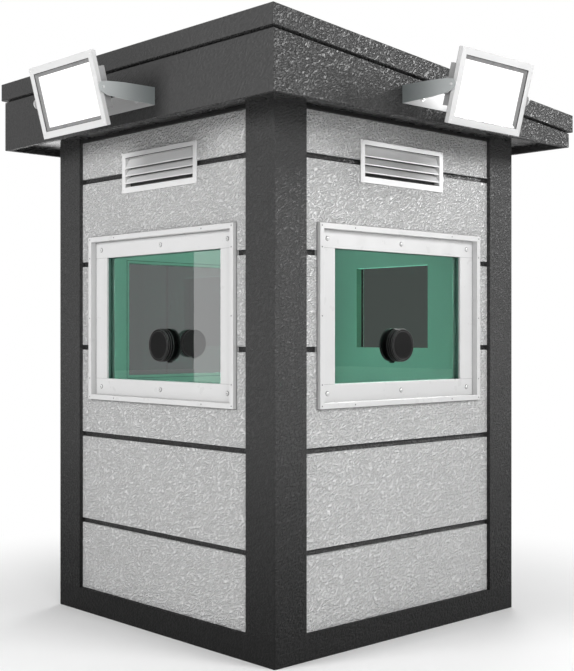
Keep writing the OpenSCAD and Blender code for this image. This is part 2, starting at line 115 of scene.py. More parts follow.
class Shader:
    """A material with one Principled node, and short ways to add what feeds it."""

    def __init__(self, name, color, rough, metallic=0.0, specular=0.5):
        self.mat = bpy.data.materials.new(name)
        self.mat.use_nodes = True
        self.mat.diffuse_color = color
        self.tree = self.mat.node_tree
        self.bsdf = self.tree.nodes["Principled BSDF"]
        self.out = self.tree.nodes["Material Output"]
        self.bsdf.inputs["Base Color"].default_value = color
        self.bsdf.inputs["Roughness"].default_value = rough
        self.bsdf.inputs["Metallic"].default_value = metallic
        self.bsdf.inputs["Specular IOR Level"].default_value = specular

    def node(self, kind, inputs=None, **settings):
        n = self.tree.nodes.new(kind)
        for key, value in settings.items():
            setattr(n, key, value)
        for key, value in (inputs or {}).items():
            if isinstance(value, bpy.types.NodeSocket):
                self.tree.links.new(value, n.inputs[key])
            else:
                n.inputs[key].default_value = value
        return n

    def math(self, operation, a, b=0.0, clamp=False):
        return self.node("ShaderNodeMath", {0: a, 1: b}, operation=operation, use_clamp=clamp).outputs[0]

    def place(self):
        return self.node("ShaderNodeTexCoord").outputs["Object"]

    def split(self, vector):
        return self.node("ShaderNodeSeparateXYZ", {0: vector}).outputs

    def noise(self, vector, scale, detail=3.0, rough=0.55, distortion=0.0):
        inputs = {"Vector": vector, "Scale": scale, "Detail": detail, "Roughness": rough,
                  "Distortion": distortion}
        return self.node("ShaderNodeTexNoise", inputs).outputs["Fac"]

    def ramp(self, value, low, high, to_low=0.0, to_high=1.0):
        inputs = {"Value": value, "From Min": low, "From Max": high, "To Min": to_low, "To Max": to_high}
        return self.node("ShaderNodeMapRange", inputs, interpolation_type="SMOOTHSTEP").outputs[0]

    def mix(self, factor, a, b):
        n = self.node("ShaderNodeMix", data_type="RGBA")
        for socket, value in (("Factor", factor), ("A", a), ("B", b)):
            target = next(i for i in n.inputs if i.name == socket and i.enabled)
            if isinstance(value, bpy.types.NodeSocket):
                self.tree.links.new(value, target)
            else:
                target.default_value = value
        return next(o for o in n.outputs if o.enabled)

    def color(self, value):
        self.tree.links.new(value, self.bsdf.inputs["Base Color"])

    def rough(self, value):
        self.tree.links.new(value, self.bsdf.inputs["Roughness"])

    def bump(self, height, distance, strength=1.0):
        """Adds relief over what is there; strength may be a value or a socket."""
        n = self.node("ShaderNodeBump", {"Height": height, "Distance": distance, "Strength": strength})
        below = self.bsdf.inputs["Normal"]
        if below.is_linked:
            self.tree.links.new(below.links[0].from_socket, n.inputs["Normal"])
        self.tree.links.new(n.outputs["Normal"], below)


def wall_plane(sh):
    """Coordinates that run along either pair of walls and up, and slowly change across them."""
    x, y, z = sh.split(sh.place())
    along = sh.math("ADD", x, y)
    across = sh.math("MULTIPLY", sh.math("SUBTRACT", x, y), 0.2)
    return sh.node("ShaderNodeCombineXYZ", {0: along, 1: z, 2: across}).outputs[0]


def streaks(sh, angle, stretch):
    """Wall coordinates drawn out along a direction at an angle from the level."""
    settings = {"Vector": wall_plane(sh), "Rotation": (0, 0, math.radians(angle)),
                "Scale": (stretch, 1, 1)}
    return sh.node("ShaderNodeMapping", settings, vector_type="TEXTURE").outputs[0]


def add_stucco(sh, grain, depth, lean, strength=1.0):
    """Embossed stucco: short leaning ridges with flattened tops, grain across in metres."""
    ridge = sh.noise(streaks(sh, lean, 2.1), 1 / grain, detail=1.2, rough=0.5, distortion=0.3)
    pits = sh.noise(streaks(sh, lean - 60, 1.6), 1.4 / grain, detail=1.0, rough=0.5, distortion=0.3)
    height = sh.math("ADD", sh.ramp(ridge, 0.36, 0.62), sh.math("MULTIPLY", pits, 0.40))
    sh.bump(height, depth, strength)
    return height


def add_orange_peel(sh, depth=0.0002):
    """The faint unevenness of sprayed paint."""
    sh.bump(sh.noise(sh.place(), 420.0, 2.0), depth, 0.5)


def inner_zone(sh, limit):
    """1 inside the booth, where both level coordinates are within the limit."""
    x, y, _ = sh.split(sh.place())
    widest = sh.math("MAXIMUM", sh.math("ABSOLUTE", x), sh.math("ABSOLUTE", y))
    return sh.math("LESS_THAN", widest, limit)


def speckled(sh, color, amount, scale=5.0):
    """A colour with broad, faint, lighter and darker areas."""
    darker = tuple(c * (1 - amount) for c in color[:3]) + (1,)
    lighter = tuple(min(1, c * (1 + amount)) for c in color[:3]) + (1,)
    return sh.mix(sh.ramp(sh.noise(sh.place(), scale, 4.0), 0.3, 0.7), darker, lighter)


# ---------------------------------------------------------------- materials

INSIDE = (0.30, 0.56, 0.46, 1)                     # green paint of the room
SLEEVE_SIDE_SHADE = (0.07, 0.22, 0.15, 1)                # the sleeve round the door's pane, painted shade on its sides
# painted green glow along the sleeve's under faces, standing in for light through the pane's edge
SLEEVE_TOP_GLOW = (0.45, 1.0, 0.80, 1)


def paint(name, color, rough=0.5, variation=0.04, orange_peel=0.0002, inside=None, specular=0.4):
    """Smooth sprayed paint, with the room's colour inside the limit where one is given."""
    sh = Shader(name, color, rough, specular=specular)
    base = speckled(sh, color, variation)
    if inside:
        base = sh.mix(inner_zone(sh, inside), base, speckled(sh, INSIDE, 0.03))
    sh.color(base)
    sh.rough(sh.ramp(sh.noise(sh.place(), 14.0), 0.3, 0.7, rough - 0.05, rough + 0.06))
    add_orange_peel(sh, orange_peel)
    return sh.mat


def faces_front(sh):
    """1 on what faces -Y."""
    normal = sh.node("ShaderNodeNewGeometry").outputs["True Normal"]
    return sh.math("LESS_THAN", sh.split(normal)[1], -0.5)


def stucco(name, color, depth, rough=0.55, grain=0.0068, lean=34, inside=None, foot_shade=0.0, specular=0.4,
           calm_front=1.0, pit_shade=0.90):
    """Textured wall paint; the amount given for the foot paints shade that darkens it towards the ground,
    calm_front is the relief's strength on faces that point forward, and the factor given for the pits sets
    how dark the painted shade in its low spots is."""
    sh = Shader(name, color, rough, specular=specular)
    strength = 1.0
    if inside:
        strength = sh.math("SUBTRACT", 1.0, inner_zone(sh, inside))
    if calm_front < 1:
        strength = sh.ramp(faces_front(sh), 0.0, 1.0, 1.0, calm_front)
    height = add_stucco(sh, grain, depth, lean, strength)
    # painted shade: the stucco's low spots are darker
    low = tuple(c * pit_shade for c in color[:3]) + (1,)
    base = sh.mix(sh.ramp(height, 0.15, 1.0), low, speckled(sh, color, 0.02))
    # painted shade: darker towards the ground
    if foot_shade:
        z = sh.split(sh.place())[2]
        dim = tuple(c * (1 - foot_shade) for c in color[:3]) + (1,)
        base = sh.mix(sh.ramp(z, -0.2, 1.3), dim, base)
    if inside:
        base = sh.mix(inner_zone(sh, inside), base, speckled(sh, INSIDE, 0.03))
    sh.color(base)
    sh.rough(sh.ramp(height, 0.2, 1.2, rough + 0.10, rough - 0.06))
    return sh.mat


def sleeve_paint(name, color):
    """White trim outside; in the sleeve round the pane a painted green glow, brightest along its top, and
    painted shade on its sides.
    """
    sh = Shader(name, color, 0.42, specular=0.3)
    y = sh.split(sh.place())[1]
    back = sh.math("LESS_THAN", y, LEAF[0][1] + 0.0005)
    sleeve = sh.math("LESS_THAN", y, PANE[1][1] - 0.0005)
    normal = sh.split(sh.node("ShaderNodeNewGeometry").outputs["Normal"])
    under = sh.math("LESS_THAN", normal[2], -0.5)
    edge = sh.mix(under, SLEEVE_SIDE_SHADE, SLEEVE_TOP_GLOW)
    sh.color(sh.mix(back, sh.mix(sleeve, color, edge), INSIDE))
    # emission makes the sleeve's under faces glow as painted light; it is no lamp
    sh.tree.links.new(sh.mix(under, (0, 0, 0, 1), SLEEVE_TOP_GLOW), sh.bsdf.inputs["Emission Color"])
    sh.bsdf.inputs["Emission Strength"].default_value = 0.8
    add_orange_peel(sh)
    return sh.mat


def glass(name, tint, gloss_gain):
    """Laminated glass that bends and tints what is behind it; it mirrors gain times what one surface does."""
    sh = Shader(name, tint, 0.02)
    clear = sh.node("ShaderNodeBsdfRefraction", {"Color": tint, "Roughness": 0.0, "IOR": 1.45})
    gloss = sh.node("ShaderNodeBsdfGlossy", {"Roughness": 0.0})
    entering = sh.math("SUBTRACT", 1.0, sh.node("ShaderNodeNewGeometry").outputs["Backfacing"])
    surface = sh.math("MULTIPLY", sh.node("ShaderNodeFresnel", {"IOR": 1.45}).outputs[0], gloss_gain)
    share = sh.math("MULTIPLY", sh.math("MINIMUM", surface, 1.0), entering)
    mixed = sh.node("ShaderNodeMixShader", {0: share, 1: clear.outputs[0], 2: gloss.outputs[0]})
    sh.tree.links.new(mixed.outputs[0], sh.out.inputs["Surface"])
    return sh.mat


def black_plastic(name, level, rough, specular):
    """Moulded black plastic with fine grain."""
    sh = Shader(name, grey(level), rough, specular=specular)
    sh.color(speckled(sh, grey(level), 0.12, 30.0))
    sh.bump(sh.noise(sh.place(), 900.0, 2.0), 0.00015, 0.6)
    return sh.mat


def woven_mesh(name, level):
    """Fine woven wire cloth, too small to see through from outside."""
    sh = Shader(name, grey(level), 0.5, metallic=0.4)
    x, y, z = sh.split(sh.place())
    pitch = 2 * math.pi / 0.0022
    waves = [sh.math("SINE", sh.math("MULTIPLY", v, pitch)) for v in (sh.math("ADD", x, y), z)]
    weave = sh.math("MULTIPLY", waves[0], waves[1])
    sh.color(sh.mix(sh.ramp(weave, -0.6, 0.6), grey(level * 0.5), grey(level * 1.4)))
    sh.bump(weave, 0.0006)
    return sh.mat


def brushed(name, level, rough):
    """Metal brushed along its length."""
    sh = Shader(name, grey(level), rough, metallic=1.0)
    lines = sh.noise(streaks(sh, 0, 40.0), 900.0, 3.0)
    sh.color(sh.mix(lines, grey(level - 12), grey(level + 10)))
    sh.rough(sh.ramp(lines, 0.3, 0.7, rough - 0.06, rough + 0.1))
    sh.bump(lines, 0.0001, 0.4)
    return sh.mat


def cast_metal(name, level, rough):
    """Painted cast aluminium with a fine sandy surface."""
    sh = Shader(name, grey(level), rough, metallic=0.15)
    sh.color(speckled(sh, grey(level), 0.06, 18.0))
    sh.bump(sh.noise(sh.place(), 700.0, 3.0), 0.0003, 0.6)
    return sh.mat


def reach_and_side(sh):
    """How far out a point lies from the booth's middle, and how far to the side of its face's middle."""
    x, y, _ = sh.split(sh.place())
    across = (sh.math("ABSOLUTE", x), sh.math("ABSOLUTE", y))
    return sh.math("MAXIMUM", *across), sh.math("MINIMUM", *across)


def vent_paint(name, color, blade_shade):
    """White paint with painted shade on the blades back from the flange, darker with depth."""
    sh = Shader(name, color, 0.35, specular=0.3)
    reach = reach_and_side(sh)[0]
    sh.color(sh.mix(sh.ramp(reach, -VENT_Y - 0.012, -VENT_Y - 0.0025), blade_shade, speckled(sh, color, 0.01)))
    add_orange_peel(sh)
    return sh.mat


def yoke_paint(name):
    """Light grey paint, with painted shade on the outer faces of the arms, darker towards the fascia."""
    pale = grey(194)
    sh = Shader(name, pale, 0.4, specular=0.3)
    reach, side = reach_and_side(sh)
    shaded, lit = (0.20, 0.22, 0.22, 1), (0.42, 0.44, 0.44, 1)
    arm = sh.mix(sh.ramp(reach, FASCIA_Y, -PIVOTS["front"].y), shaded, lit)
    outer = sh.math("GREATER_THAN", side, YOKE_X - 0.001)
    sh.color(sh.mix(outer, speckled(sh, pale, 0.03), arm))
    add_orange_peel(sh)
    return sh.mat


def lamp_glow(name):
    """Lit diffuser: bright in the middle, slightly dimmer at its edges."""
    sh = Shader(name, (0.90, 0.90, 0.90, 1), 0.35)
    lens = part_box("lamp_lens_front")
    middle = (lens[0][2] + lens[1][2]) / 2
    side = sh.math("DIVIDE", reach_and_side(sh)[1], lens[1][0])
    up = sh.math("ABSOLUTE", sh.math("SUBTRACT", sh.split(sh.place())[2], middle))
    up = sh.math("DIVIDE", up, (lens[1][2] - lens[0][2]) / 2)
    edge = sh.ramp(sh.math("MAXIMUM", side, up), 0.70, 1.0)
    dots = sh.noise(sh.place(), 60.0, 1.0)
    plain = sh.mix(sh.ramp(dots, 0.3, 0.7), (0.88, 0.88, 0.88, 1), (0.92, 0.92, 0.92, 1))
    sh.color(sh.mix(edge, plain, (0.62, 0.62, 0.62, 1)))
    light = sh.mix(edge, (0.75, 0.75, 0.75, 1), (0.22, 0.22, 0.22, 1))
    sh.tree.links.new(light, sh.bsdf.inputs["Emission Color"])
    sh.bsdf.inputs["Emission Strength"].default_value = 1.0
    return sh.mat


IN_ROOM = ROOM + 0.0005
BOARDS = {"color": grey(205), "depth": 0.0085, "rough": 0.45, "specular": 0.5, "pit_shade": 0.84}
ROOF_EDGE = {"color": grey(65), "rough": 0.45, "grain": 0.0080, "specular": 0.16, "calm_front": 0.3}
MAT = {
    "post": stucco("post_paint", grey(68), 0.0040, 0.45, inside=IN_ROOM, foot_shade=0.85, specular=0.12),
    "base": stucco("base_paint", grey(44), 0.0020, 0.55, inside=IN_ROOM, foot_shade=0.6, specular=0.12),
    "core": stucco("wall_core_paint", grey(46), 0.0060, 0.45, inside=IN_ROOM, specular=0.5),
    "panel": stucco("cladding_stucco", **BOARDS),
    # the cornice trim's dark paint also paints the shadow under the eaves
    "trim": paint("dark_trim_and_eave_shadow_paint", grey(36), 0.5, specular=0.2),
    "soffit": paint("soffit_paint", grey(50), 0.26, inside=IN_ROOM, specular=0.5),
    "fascia": stucco("fascia_stucco", depth=0.0055, **ROOF_EDGE),
    "cap": stucco("cap_stucco", depth=0.0052, **ROOF_EDGE),
    "roof": paint("roof_sheet_paint", grey(84), 0.5, 0.08),
    "window": paint("window_white_paint", grey(200), 0.32, 0.01, inside=-GLASS_Y - 0.0005, specular=0.3),
    "door_frame": stucco("door_frame_paint", grey(60), 0.0018, 0.5, inside=IN_ROOM, foot_shade=0.8, specular=0.16),
    "door": stucco("door_stucco", inside=LEAF[0][1] + 0.0005, **BOARDS),
    "door_trim": sleeve_paint("door_trim_white", grey(211)),
    # the second grey is the painted shade on the vent's blades
    "vent": vent_paint("vent_white_paint", grey(214), grey(210)),
    "vent_screw": paint("vent_screw_paint", grey(210), 0.35, 0.01, specular=0.3),
    "mesh": woven_mesh("vent_insect_mesh", 96),
    "port": black_plastic("port_black_plastic", 12, 0.34, 0.12),
    # light grey rings painted on the dark port as edge highlights
    "port_edge_highlight": black_plastic("port_edge_highlight_paint", 92, 0.3, 0.4),
    "gasket": black_plastic("gasket_rubber", 22, 0.7, 0.3),
    "glass_seal": paint("glass_edge_seal", (0.070, 0.150, 0.120, 1), 0.5, 0.05, specular=0.2),
    "glass_lip": paint("glass_edge_lip", (0.020, 0.060, 0.042, 1), 0.6, 0.05, specular=0.1),
    "inner_seal": paint("inner_edge_seal", (0.10, 0.22, 0.17, 1), 0.6, 0.05, specular=0.1),
    "steel": brushed("brushed_steel", 190, 0.3),
    "screw": cast_metal("screw_zinc", 214, 0.3),
    "hinge": paint("hinge_dark_paint", grey(60), 0.4),
    "yoke": yoke_paint("yoke_grey_paint"),
    "lamp": paint("lamp_white_paint", grey(200), 0.35, 0.01, specular=0.3),
    "housing": cast_metal("lamp_cast_housing", 150, 0.45),
    # grey of the lamp's reveal, darkened to paint the shade inside the lamp's mouth
    "reflector": paint("lamp_reflector_shade_grey", grey(126), 0.3, 0.02),
    "glow": lamp_glow("lamp_diffuser"),
    "floor": paint("room_floor_vinyl", grey(108), 0.6, 0.10, 0.0006),
    "sealant": paint("sealant_grey", grey(130), 0.6, 0.04),
    "glass": glass("laminated_glass", (0.845, 0.965, 0.925, 1), 2.4),
    "door_glass": glass("door_laminated_glass", (0.53, 0.66, 0.60, 1), 0.3),
    "shadow_line": paint("joint_line_grey", grey(120), 0.7, 0.02),
}


def give(material, *nodes):
    for name in nodes:
        obj = frame["nodes"][name]
        obj.data.materials.clear()
        obj.data.materials.append(MAT[material])


def soften(width, *nodes):
    """Small rounded edges on CAD nodes, so that their corners catch the light."""
    for name in nodes:
        obj = frame["nodes"][name]
        weld = obj.modifiers.new("weld", "WELD")
        weld.merge_threshold = 0.00002
        bevel = obj.modifiers.new("edge", "BEVEL")
        bevel.width = width
        bevel.segments = 2
        bevel.limit_method = "ANGLE"
        bevel.angle_limit = math.radians(40)
        bevel.harden_normals = False


POSTS = ["post_front_right", "post_front_left", "post_rear_right", "post_rear_left"]
WALLS = ["front_wall", "right_wall", "left_wall", "rear_wall_right", "rear_wall_left"]
CLADDING = ["front_cladding", "right_cladding", "left_cladding", "rear_cladding"]
FASCIAS = ["fascia_front", "fascia_rear", "fascia_right", "fascia_left"]
WINDOW_FRAMES = ["window_frame_" + s for s in SIDES]
LAMP_FRAMES = ["lamp_frame_" + s for s in SIDES]
LAMP_BACKS = ["lamp_back_" + s for s in SIDES]

give("base", "base_frame")
give("floor", "floor_deck")
give("post", *POSTS)
give("core", *WALLS)
give("panel", *CLADDING)
give("trim", "cornice_trim")
give("soffit", "soffit")
give("fascia", *FASCIAS)
give("cap", "roof_cap")
give("roof", "roof_sheet")
give("window", *WINDOW_FRAMES)
give("glass", "window_glass_front", "window_glass_right", "window_glass_left")
give("door_glass", "door_pane")
give("port", "speech_ports")
give("vent", "vent_grilles")
give("door_frame", "door_frame")
give("door", "door_leaf")
give("door_trim", "door_pane_trim")
give("steel", "door_handle")
give("hinge", "hinge_frame_halves", "hinge_door_halves")
give("yoke", "lamp_yokes")
give("lamp", *LAMP_FRAMES)
give("housing", *LAMP_BACKS)
give("glow", *["lamp_lens_" + s for s in SIDES])

soften(0.0018, *CLADDING, *FASCIAS, "roof_cap", "door_leaf", "door_frame", "cornice_trim")
soften(0.0012, *WINDOW_FRAMES, "vent_grilles", "door_pane_trim", *LAMP_FRAMES, *LAMP_BACKS)
soften(0.0008, "lamp_yokes", "speech_ports", "door_handle", "hinge_frame_halves", "hinge_door_halves")


# ---------------------------------------------------------------- mesh pieces

class Piece:
    """Collects boxes, discs and domes in one mesh, each placed by a matrix."""

    def __init__(self, name, material, body, slot):
        self.name, self.material, self.body, self.slot = name, material, body, slot
        self.bm = bmesh.new()

    def box(self, low, high, at=Matrix.Identity(4)):
        low, high = Vector(low), Vector(high)
        size = high - low
        m = at @ Matrix.Translation((low + high) / 2) @ Matrix.Diagonal((*size, 1))
        bmesh.ops.create_cube(self.bm, size=1, matrix=m)

    def disc(self, radius, depth, at, sides=24, tip=None):
        """A short cylinder or cone that stands on the matrix's origin along its Z."""
        m = at @ Matrix.Translation((0, 0, depth / 2))
        bmesh.ops.create_cone(self.bm, cap_ends=True, segments=sides, radius1=radius,
                              radius2=radius if tip is None else tip, depth=depth, matrix=m)

    def dome(self, radius, height, at, rings=4, sides=16):
        """A low rounded head, flat on the matrix's origin and rising along its Z."""
        loops = []
        for i in range(rings + 1):
            angle = math.pi / 2 * i / rings
            r, z = radius * math.cos(angle), height * math.sin(angle)
            if i == rings:
                loops.append([self.bm.verts.new(at @ Vector((0, 0, height)))])
            else:
                loops.append([self.bm.verts.new(at @ Vector((r * math.cos(t), r * math.sin(t), z)))
                              for t in (2 * math.pi * k / sides for k in range(sides))])
        for a, b in zip(loops, loops[1:]):
            for k in range(sides):
                k2 = (k + 1) % sides
                if len(b) == 1:
                    self.bm.faces.new((a[k], a[k2], b[0]))
                else:
                    self.bm.faces.new((a[k], a[k2], b[k2], b[k]))
        self.bm.faces.new(list(reversed(loops[0])))

    def ring(self, radius, wire, at, sides=48, section=8):
        """A round wire bent into a circle about the matrix's Z."""
        loops = []
        for k in range(sides):
            t = 2 * math.pi * k / sides
            loop = []
            for j in range(section):
                a = 2 * math.pi * j / section
                r = radius + wire * math.cos(a)
                spot = Vector((r * math.cos(t), r * math.sin(t), wire * math.sin(a)))
                loop.append(self.bm.verts.new(at @ spot))
            loops.append(loop)
        for k in range(sides):
            a, b = loops[k], loops[(k + 1) % sides]
            for j in range(section):
                j2 = (j + 1) % section
                self.bm.faces.new((a[j], a[j2], b[j2], b[j]))

    def frame(self, outer, inner, at=Matrix.Identity(4)):
        """A rectangular frame between two boxes of one depth, each (half width, y0, y1, z0, z1)."""
        ox, y0, y1, oz0, oz1 = outer
        ix, _, _, iz0, iz1 = inner
        self.box((-ox, y0, oz0), (ox, y1, iz0), at)
        self.box((-ox, y0, iz1), (ox, y1, oz1), at)
        self.box((-ox, y0, iz0), (-ix, y1, iz1), at)
        self.box((ix, y0, iz0), (ox, y1, iz1), at)

    def done(self, bevel=0.0, smooth=False):
        bmesh.ops.recalc_face_normals(self.bm, faces=self.bm.faces)
        mesh = bpy.data.meshes.new(self.name)
        self.bm.to_mesh(mesh)
        self.bm.free()
        obj = bpy.data.objects.new(self.name, mesh)
        scene.collection.objects.link(obj)
        mesh.materials.append(MAT[self.material])
        for p in mesh.polygons:
            p.use_smooth = smooth
        if bevel:
            mod = obj.modifiers.new("edge", "BEVEL")
            mod.width = bevel
            mod.segments = 2
            mod.limit_method = "ANGLE"
        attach(obj, self.body)
        return obj


def turned(side):
    return Matrix.Rotation(math.radians(SIDES[side]), 4, "Z")


def facing_out(x, y, z):
    """A frame on the front face whose Z points out of the wall."""
    return Matrix.Translation((x, y, z)) @ Matrix.Rotation(math.radians(90), 4, "X")


def around(half_w, half_h, out, width, y0, y1):
    """Outer and inner edge of a frame round a window's middle, width wide, from out beyond the half sizes."""
    outer = (half_w + out + width, y0, y1, WINDOW_Z - half_h - out - width, WINDOW_Z + half_h + out + width)
    inner = (half_w + out, y0, y1, WINDOW_Z - half_h - out, WINDOW_Z + half_h + out)
    return outer, inner


def window_fittings(side):
    """Screws in the plate with dark rings painted as their shadows, rivets in the rim, joint lines, a line
    round the plate partly painted as the rim's shadow, gasket and sealant of one window.
    """
    turn = turned(side)
    stile_mid = (PLATE_X + LIGHT_X) / 2
    rail_mid = (PLATE_HALF_H + LIGHT_HALF_H) / 2
    washer_r, washer_t = 0.0085, 0.0012
    head_r, head_h = 0.0068, 0.0030

    screws = Piece("window_screws_" + side, "screw", ROOT, "handle_steel")
    slots_and_shadow_rings = Piece("window_screw_slots_and_shadows_" + side, "gasket", ROOT, "port_black")
    for x in (-stile_mid, 0, stile_mid):
        for z in (WINDOW_Z - rail_mid, WINDOW_Z + rail_mid):
            at = turn @ facing_out(x, PLATE_Y, z)
            screws.disc(washer_r, washer_t, at, 24)
            screws.dome(head_r, head_h, at @ Matrix.Translation((0, 0, washer_t)))
            # a dark ring painted round each washer as the screw's shadow
            slots_and_shadow_rings.ring(washer_r + 0.0004, 0.0011, at, 24, 6)
            for spin in (30, 120):
                cross = at @ Matrix.Rotation(math.radians(spin), 4, "Z")
                slots_and_shadow_rings.box((-0.0028, -0.0005, 0.0036), (0.0028, 0.0005, 0.00430), cross)
    screws.done(smooth=True)
    slots_and_shadow_rings.done()

    rivets = Piece("window_rivets_" + side, "shadow_line", ROOT, "window_white")
    rim_mid_x = RIM_X - RIM_FACE / 2
    rim_mid_low, rim_mid_high = RIM_LOW + RIM_FACE / 2, RIM_HIGH - RIM_FACE / 2
    spots = [(x, z) for x in (-rim_mid_x, -rim_mid_x * 0.62, rim_mid_x * 0.62, rim_mid_x)
             for z in (rim_mid_low, rim_mid_high)]
    spots += [(x, WINDOW_Z + dz) for x in (-rim_mid_x, rim_mid_x)
              for dz in (-LIGHT_HALF_H, 0, LIGHT_HALF_H)]
    for x, z in spots:
        rivets.dome(0.0032, 0.0013, turn @ facing_out(x, RIM_Y, z), 3, 12)
    rivets.done(smooth=True)

    lines = Piece("window_joint_lines_" + side, "shadow_line", ROOT, "window_white")
    for sx in (-1, 1):
        x0, x1 = sorted((sx * LIGHT_X, sx * PLATE_X))
        for z in (WINDOW_Z - LIGHT_HALF_H, WINDOW_Z + LIGHT_HALF_H):
            lines.box((x0, PLATE_Y - 0.00015, z - 0.0005), (x1, PLATE_Y + 0.001, z + 0.0005), turn)
    lines.done()

    y0, y1 = PLATE_Y + PLATE_T, GLASS_Y
    seal = Piece("window_gasket_" + side, "glass_seal", ROOT, "port_black")
    seal.frame(*around(LIGHT_X, LIGHT_HALF_H, 0.0005, 0.0034, y0, y1), turn)
    seal.done()
    lip = Piece("window_lip_" + side, "glass_lip", ROOT, "port_black")
    lip.frame(*around(LIGHT_X, LIGHT_HALF_H, -0.0032, 0.0008, y1 - 0.0015, y1 - 0.0001), turn)
    lip.done()
    # a thin grey seal round the plate, darkened to paint the shadow under the rim as well
    plate_shadow_line = Piece("window_plate_shadow_line_" + side, "shadow_line", ROOT, "window_white")
    plate_shadow_line.frame(*around(PLATE_X, PLATE_HALF_H, -0.0024, 0.0004, PLATE_Y - 0.0012, PLATE_Y + 0.001), turn)
    plate_shadow_line.done()
    inner = Piece("window_inner_seal_" + side, "inner_seal", ROOT, "window_white")
    inner.frame(*around(LIGHT_X, LIGHT_HALF_H, 0.012, 0.003, -INNER_Y - 0.0004, -INNER_Y + 0.0015), turn)
    inner.done()

    bead = Piece("window_sealant_" + side, "sealant", ROOT, "cladding")
    half_h = (RIM_HIGH - RIM_LOW) / 2
    bead.frame(*around(RIM_X, half_h, -0.0002, 0.0042, CLAD_Y - 0.003, CLAD_Y + 0.002), turn)
    bead.done(bevel=0.0015)


def port_fittings(side):
    """Thin rings on the port's face and its turned rim, painted light grey as highlights on the dark port."""
    turn = turned(side)
    rings = Piece("port_highlight_rings_" + side, "port_edge_highlight", ROOT, "port_black")
    for radius in (PORT_R - 0.003, PORT_R - 0.011):
        rings.ring(radius, 0.0005, turn @ facing_out(0, PORT_Y, PORT_Z))
    for k in range(3):
        rings.ring(PORT_R - 0.0003, 0.0006, turn @ facing_out(0, GLASS_Y - 0.0045 - k * 0.0115, PORT_Z))
    rings.done(smooth=True)


def vent_fittings(side):
    """Insect mesh behind the blades, a dark strip painted as the shadow along the top of the opening, and the
    four screws of a grille.
    """
    turn = turned(side)
    duct_x = VENT_X - VENT_FLANGE - VENT_SLEEVE
    z0 = VENT_LOW + VENT_FLANGE + VENT_SLEEVE
    z1 = VENT_HIGH - VENT_FLANGE_TOP - VENT_SLEEVE
    cloth = Piece("vent_mesh_" + side, "mesh", ROOT, "port_black")
    y, hem = VENT_Y + 0.030, 0.006
    cloth.box((-duct_x, y, z0), (duct_x, y + 0.001, z1), turn)
    edge = (duct_x, y - 0.0012, y + 0.004, z0, z1)
    cloth.frame(edge, (duct_x - hem, 0, 0, z0 + hem, z1 - hem), turn)
    cloth.done()
    # a dark strip painted as the shadow along the top inside edge of the opening
    top_shadow_strip = Piece("vent_top_shadow_strip_" + side, "gasket", ROOT, "port_black")
    top_shadow_strip.box((-duct_x, VENT_Y + 0.0012, z1 - 0.0030), (duct_x, VENT_Y + 0.0030, z1), turn)
    top_shadow_strip.done(bevel=0.0004)
    screws = Piece("vent_screws_" + side, "vent_screw", ROOT, "vent_white")
    for x in (-VENT_X + VENT_FLANGE / 2, VENT_X - VENT_FLANGE / 2):
        for z in (VENT_LOW + VENT_FLANGE / 2, VENT_HIGH - VENT_FLANGE_TOP / 2):
            screws.dome(0.0035, 0.0014, turn @ facing_out(x, VENT_Y, z), 3, 12)
    screws.done(smooth=True)


for side in SIDES:
    window_fittings(side)
    port_fittings(side)
    vent_fittings(side)


# ---------------------------------------------------------------- floodlights

def head_frame(side):
    """The lamp head's own frame at rest: the middle of its face, with Z up the face and -Y out of it."""
    return (Matrix.Translation(PIVOTS[side]) @ turned(side) @ Matrix.Rotation(LAMP_TILT, 4, "X")
            @ Matrix.Translation((0, -PIVOT_DEPTH, 0)))


def lamp_reflector(side):
    """Tapered reveal between the front frame and the diffuser, painted grey as the shade in the lamp's mouth,
    with a dark gasket at its mouth.
    """
    body = "lamp_" + side
    at = head_frame(side)
    mouth = (LAMP_X - LAMP_FACE, LAMP_Z - LAMP_FACE)
    depth, taper, skin = 0.0115, 0.015, 0.0012
    reveal = Piece("lamp_reflector_" + side, "reflector", body, "lamp_white")
    bm = reveal.bm
    corners = [(-1, -1), (1, -1), (1, 1), (-1, 1)]

    def loop(inset, y):
        return [bm.verts.new(at @ Vector((sx * (mouth[0] - inset), y, sz * (mouth[1] - inset))))
                for sx, sz in corners]
    rows = [loop(0.0002, 0.004), loop(taper, depth), loop(taper, depth + skin * 0.3),
            loop(0.0002, depth + skin * 0.3)]
    for a, b in zip(rows, rows[1:] + rows[:1]):
        for k in range(4):
            k2 = (k + 1) % 4
            bm.faces.new((a[k], a[k2], b[k2], b[k]))
    reveal.done()
    gasket = Piece("lamp_gasket_" + side, "gasket", body, "port_black")
    x, z = mouth
    play, width = 0.0001, 0.0015
    outer = (x - play, 0.0022, 0.0042, -z + play, z - play)
    inner = (x - play - width, 0, 0, -z + play + width, z - play - width)
    gasket.frame(outer, inner, at)
    gasket.done()


def lamp_fittings(side):
    """Corner screws of the front frame and a cable gland behind."""
    body = "lamp_" + side
    at = head_frame(side)
    screws = Piece("lamp_frame_screws_" + side, "screw", body, "handle_steel")
    for sx in (-1, 1):
        for sz in (-1, 1):
            spot = at @ facing_out(sx * (LAMP_X - LAMP_FACE / 2), 0, sz * (LAMP_Z - LAMP_FACE / 2))
            screws.dome(0.0030, 0.0012, spot, 3, 12)
    screws.done(smooth=True)
    gland = Piece("lamp_gland_" + side, "gasket", body, "port_black")
    out = at @ Matrix.Translation((0, LAMP_DEPTH, -0.03)) @ Matrix.Rotation(math.radians(-90), 4, "X")
    gland.disc(0.011, 0.006, out, 6)
    gland.disc(0.009, 0.012, out @ Matrix.Translation((0, 0, 0.006)), 24)
    gland.disc(0.009, 0.004, out @ Matrix.Translation((0, 0, 0.018)), 24, 0.005)
    gland.done(bevel=0.0006)


